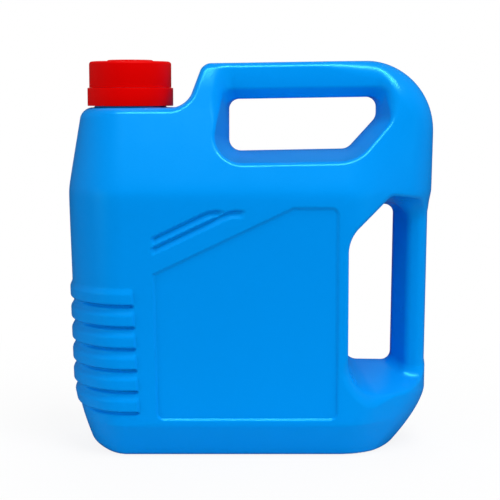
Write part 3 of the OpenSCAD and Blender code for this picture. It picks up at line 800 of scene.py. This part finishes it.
# Materials
def moulded_skin_group():
    """Colour drift, sheen patches and fine grain that every moulded plastic here shows."""
    patch_scale = 55
    group = bpy.data.node_groups.new("moulded_skin", "ShaderNodeTree")
    for name, kind, start in [
        ("Colour", "NodeSocketColor", (0.5, 0.5, 0.5, 1)),
        ("Drift", "NodeSocketFloat", 0.06),
        ("Drift Scale", "NodeSocketFloat", 18.0),
        ("Roughness", "NodeSocketFloat", 0.35),
        ("Roughness Drift", "NodeSocketFloat", 0.08),
        ("Grain Scale", "NodeSocketFloat", 900.0),
    ]:
        socket = group.interface.new_socket(name, in_out="INPUT", socket_type=kind)
        socket.default_value = start
    for name, kind in [
        ("Colour", "NodeSocketColor"),
        ("Roughness", "NodeSocketFloat"),
        ("Height", "NodeSocketFloat"),
    ]:
        group.interface.new_socket(name, in_out="OUTPUT", socket_type=kind)
    nodes = group.nodes
    links = group.links
    given = nodes.new("NodeGroupInput")
    result = nodes.new("NodeGroupOutput")
    place = nodes.new("ShaderNodeTexCoord")

    # Slow drift of the colour
    drift = nodes.new("ShaderNodeTexNoise")
    drift.inputs["Detail"].default_value = 3
    links.new(place.outputs["Object"], drift.inputs["Vector"])
    links.new(given.outputs["Drift Scale"], drift.inputs["Scale"])
    centred = nodes.new("ShaderNodeMath")
    centred.operation = "SUBTRACT"
    centred.inputs[1].default_value = 0.5
    links.new(drift.outputs["Fac"], centred.inputs[0])
    amount = nodes.new("ShaderNodeMath")
    amount.operation = "MULTIPLY_ADD"
    amount.inputs[2].default_value = 1.0
    links.new(centred.outputs[0], amount.inputs[0])
    links.new(given.outputs["Drift"], amount.inputs[1])
    shade = nodes.new("ShaderNodeHueSaturation")
    links.new(amount.outputs[0], shade.inputs["Value"])
    links.new(given.outputs["Colour"], shade.inputs["Color"])
    links.new(shade.outputs["Color"], result.inputs["Colour"])

    # Patches of more and less sheen
    patches = nodes.new("ShaderNodeTexNoise")
    patches.inputs["Detail"].default_value = 5
    patches.inputs["Scale"].default_value = patch_scale
    links.new(place.outputs["Object"], patches.inputs["Vector"])
    patch_centred = nodes.new("ShaderNodeMath")
    patch_centred.operation = "SUBTRACT"
    patch_centred.inputs[1].default_value = 0.5
    links.new(patches.outputs["Fac"], patch_centred.inputs[0])
    rough = nodes.new("ShaderNodeMath")
    rough.operation = "MULTIPLY_ADD"
    links.new(patch_centred.outputs[0], rough.inputs[0])
    links.new(given.outputs["Roughness Drift"], rough.inputs[1])
    links.new(given.outputs["Roughness"], rough.inputs[2])
    links.new(rough.outputs[0], result.inputs["Roughness"])

    # Fine grain of the mould
    grain = nodes.new("ShaderNodeTexNoise")
    grain.inputs["Detail"].default_value = 2
    links.new(place.outputs["Object"], grain.inputs["Vector"])
    links.new(given.outputs["Grain Scale"], grain.inputs["Scale"])
    links.new(grain.outputs["Fac"], result.inputs["Height"])
    return group


MOULDED_SKIN = moulded_skin_group()
GRAIN_STRENGTH = 0.5
PLASTIC_IOR = 1.5


def plastic(name, colour, gloss, sheen, drift, drift_scale, roughness, roughness_drift, grain_scale,
            grain_depth):
    """A moulded plastic with the shared skin. The depth of its grain is in metres."""
    material = bpy.data.materials.new(name)
    material.use_nodes = True
    nodes = material.node_tree.nodes
    links = material.node_tree.links
    shader = nodes["Principled BSDF"]
    skin = nodes.new("ShaderNodeGroup")
    skin.node_tree = MOULDED_SKIN
    skin.inputs["Colour"].default_value = (*colour, 1)
    skin.inputs["Drift"].default_value = drift
    skin.inputs["Drift Scale"].default_value = drift_scale
    skin.inputs["Roughness"].default_value = roughness
    skin.inputs["Roughness Drift"].default_value = roughness_drift
    skin.inputs["Grain Scale"].default_value = grain_scale
    bump = nodes.new("ShaderNodeBump")
    bump.inputs["Strength"].default_value = GRAIN_STRENGTH
    bump.inputs["Distance"].default_value = grain_depth
    links.new(skin.outputs["Colour"], shader.inputs["Base Color"])
    links.new(skin.outputs["Roughness"], shader.inputs["Roughness"])
    links.new(skin.outputs["Height"], bump.inputs["Height"])
    links.new(bump.outputs["Normal"], shader.inputs["Normal"])
    shader.inputs["IOR"].default_value = PLASTIC_IOR
    shader.inputs["Specular IOR Level"].default_value = gloss
    shader.inputs["Specular Tint"].default_value = (*sheen, 1)
    return material


BOTTLE_BLUE = plastic(
    "bottle_polyethylene",
    colour=(0.0, 0.25, 0.76),
    gloss=0.5,
    sheen=(0.02, 0.7, 1.0),
    drift=0.05,
    drift_scale=14,
    roughness=0.26,
    roughness_drift=0.06,
    grain_scale=700,
    grain_depth=0.00007,
)
CAP_RED = plastic(
    "cap_polypropylene",
    colour=(0.63, 0.0, 0.0),
    gloss=0.14,
    sheen=(1.0, 0.1, 0.1),
    drift=0.06,
    drift_scale=30,
    roughness=0.45,
    roughness_drift=0.08,
    grain_scale=900,
    grain_depth=0.00006,
)
LINER_WHITE = plastic(
    "liner_foam",
    colour=(0.86, 0.86, 0.83),
    gloss=0.4,
    sheen=(1.0, 1.0, 1.0),
    drift=0.05,
    drift_scale=60,
    roughness=0.75,
    roughness_drift=0.1,
    grain_scale=1800,
    grain_depth=0.0002,
)


def finish_piece(piece, body, node, material):
    """Gives a piece its material, its body, the solid that it stands for, if any."""
    piece.data.materials.clear()
    piece.data.materials.append(material)
    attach(piece, body)
    if node:
        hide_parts(node)


finish_piece(bottle_piece(), "bottle", "bottle", BOTTLE_BLUE)
finish_piece(neck_piece(), "bottle", None, BOTTLE_BLUE)
finish_piece(thread_piece(), "bottle", None, BOTTLE_BLUE)
finish_piece(band_piece(), "bottle", "tamper_band", CAP_RED)
finish_piece(cap_piece(), "cap", "cap", CAP_RED)
finish_piece(liner_piece(), "liner", "cap_liner", LINER_WHITE)

# Studio, with lengths in metres
FLOOR_HALF = 6.0
FLOOR_GREY = 0.75
# Grey of the floor in the bottle's reflections, far darker than the floor: a painted dark reflection
FLOOR_MIRRORED = 0.04
WORLD_LIGHT = 0.5
WORLD_MIRRORED = 0.05
WHITE = (1, 1, 1, 1)
LAMP_AIM = Vector((0, 0, 0.13))
CAMERA_PLACE = (0.00065, -0.960, 0.230)
CAMERA_TILT = 6.113
CAMERA_LENS = 104.094
CAMERA_SENSOR = 36.0
CAMERA_SHIFT = -0.0022
CAMERA_NEAR = 0.01


def falloff(nodes, near, far, near_value, far_value):
    """A node that turns a distance into a value between the two given."""
    node = nodes.new("ShaderNodeMapRange")
    node.inputs["From Min"].default_value = near
    node.inputs["From Max"].default_value = far
    node.inputs["To Min"].default_value = near_value
    node.inputs["To Max"].default_value = far_value
    return node


def floor_piece():
    """A pale floor that keeps a faint shadow near the bottle and fades to white further out."""
    corners = [(-1, -1, 0), (1, -1, 0), (1, 1, 0), (-1, 1, 0)]
    floor = mesh_piece("floor", np.array(corners) * FLOOR_HALF / MM, np.array([[0, 1, 2, 3]]))
    material = bpy.data.materials.new("studio_floor")
    material.use_nodes = True
    nodes = material.node_tree.nodes
    links = material.node_tree.links
    nodes.remove(nodes["Principled BSDF"])
    output = nodes["Material Output"]
    matte = nodes.new("ShaderNodeBsdfDiffuse")
    white = nodes.new("ShaderNodeEmission")
    white.inputs["Strength"].default_value = 1.0
    rays = nodes.new("ShaderNodeLightPath")
    place = nodes.new("ShaderNodeTexCoord")
    away = nodes.new("ShaderNodeVectorMath")
    away.operation = "LENGTH"
    links.new(place.outputs["Object"], away.inputs[0])

    # Colour of the floor as it is seen, as it lights the bottle and as the bottle mirrors it. Where it
    # lights the bottle, the floor is lighter near it and darker further out: a painted pool of light that
    # brightens the bottle's lower parts.
    # Painted pool of light: the floor's colour for light bounced onto the bottle fades from light near the
    # bottle to dark further out
    painted_pool = falloff(nodes, 0.15, 0.5, 0.7, 0.25)
    links.new(away.outputs["Value"], painted_pool.inputs["Value"])
    seen = nodes.new("ShaderNodeMix")
    seen.data_type = "RGBA"
    seen.inputs["B"].default_value = (FLOOR_GREY, FLOOR_GREY, FLOOR_GREY, 1)
    links.new(rays.outputs["Is Camera Ray"], seen.inputs["Factor"])
    links.new(painted_pool.outputs["Result"], seen.inputs["A"])
    # Painted dark reflection: glossy rays see the floor nearly black, so the bottle mirrors almost none of
    # it
    mirrored = nodes.new("ShaderNodeMix")
    mirrored.data_type = "RGBA"
    mirrored.inputs["B"].default_value = (FLOOR_MIRRORED, FLOOR_MIRRORED, FLOOR_MIRRORED, 1)
    links.new(rays.outputs["Is Glossy Ray"], mirrored.inputs["Factor"])
    links.new(seen.outputs["Result"], mirrored.inputs["A"])
    links.new(mirrored.outputs["Result"], matte.inputs["Color"])

    # Share of plain white in what is seen
    fade = falloff(nodes, 0.1, 0.45, 0.88, 1.0)
    fade.interpolation_type = "SMOOTHSTEP"
    links.new(away.outputs["Value"], fade.inputs["Value"])
    share = nodes.new("ShaderNodeMath")
    share.operation = "MULTIPLY"
    links.new(rays.outputs["Is Camera Ray"], share.inputs[0])
    links.new(fade.outputs["Result"], share.inputs[1])
    mix = nodes.new("ShaderNodeMixShader")
    links.new(share.outputs[0], mix.inputs["Fac"])
    links.new(matte.outputs[0], mix.inputs[1])
    links.new(white.outputs[0], mix.inputs[2])
    links.new(mix.outputs[0], output.inputs["Surface"])
    floor.data.materials.append(material)


def studio_world():
    """A white world to the eye, softer as light on the bottle, and dim in its gloss."""
    world = bpy.data.worlds.new("studio")
    bpy.context.scene.world = world
    world.use_nodes = True
    nodes = world.node_tree.nodes
    links = world.node_tree.links
    light = nodes["Background"]
    light.inputs["Color"].default_value = WHITE
    light.inputs["Strength"].default_value = WORLD_LIGHT
    white = nodes.new("ShaderNodeBackground")
    white.inputs["Color"].default_value = WHITE
    white.inputs["Strength"].default_value = 1.0
    rays = nodes.new("ShaderNodeLightPath")
    mix = nodes.new("ShaderNodeMixShader")
    links.new(rays.outputs["Is Camera Ray"], mix.inputs["Fac"])
    links.new(light.outputs[0], mix.inputs[1])
    links.new(white.outputs[0], mix.inputs[2])
    dim = nodes.new("ShaderNodeBackground")
    dim.inputs["Color"].default_value = WHITE
    dim.inputs["Strength"].default_value = WORLD_MIRRORED
    mirrored = nodes.new("ShaderNodeMixShader")
    links.new(rays.outputs["Is Glossy Ray"], mirrored.inputs["Fac"])
    links.new(mix.outputs[0], mirrored.inputs[1])
    links.new(dim.outputs[0], mirrored.inputs[2])
    links.new(mirrored.outputs[0], nodes["World Output"].inputs["Surface"])


def lamp(name, place, size, power, soft):
    """An area lamp that faces the bottle: soft light on its colour, or light for its glossy edges alone."""
    data = bpy.data.lights.new(name, "AREA")
    data.shape = "RECTANGLE"
    data.size, data.size_y = size
    data.energy = power
    lamp_object = bpy.data.objects.new(name, data)
    lamp_object.location = place
    lamp_object.rotation_euler = (LAMP_AIM - Vector(place)).to_track_quat("-Z", "Y").to_euler()
    lamp_object.visible_glossy = not soft
    lamp_object.visible_diffuse = soft
    bpy.context.scene.collection.objects.link(lamp_object)


def camera():
    """The camera in front of the bottle, a little above it and tilted down."""
    data = bpy.data.cameras.new("camera")
    data.sensor_width = CAMERA_SENSOR
    data.lens = CAMERA_LENS
    data.shift_x = CAMERA_SHIFT
    data.clip_start = CAMERA_NEAR
    seat = bpy.data.objects.new("camera", data)
    seat.location = CAMERA_PLACE
    seat.rotation_euler = (math.radians(90 - CAMERA_TILT), 0, 0)
    bpy.context.scene.collection.objects.link(seat)
    bpy.context.scene.camera = seat


floor_piece()
studio_world()
lamp("top_softbox", place=(0.4, -0.7, 1.4), size=(0.6, 0.4), power=8.4, soft=True)
lamp("overhead_light", place=(0.2, -0.25, 1.4), size=(0.5, 0.3), power=4.8, soft=True)
lamp("back_light", place=(0.05, 1.0, 1.0), size=(0.8, 0.4), power=5, soft=True)
lamp("right_fill", place=(1.2, -1.05, 0.25), size=(0.8, 0.8), power=11.2, soft=True)
lamp("left_fill", place=(-1.3, -0.65, 0.35), size=(0.8, 0.8), power=7.8, soft=True)
lamp("edge_strip", place=(0.05, -0.42, 1.46), size=(1.2, 0.2), power=28, soft=False)
camera()
bpy.context.scene.view_settings.view_transform = "Standard"
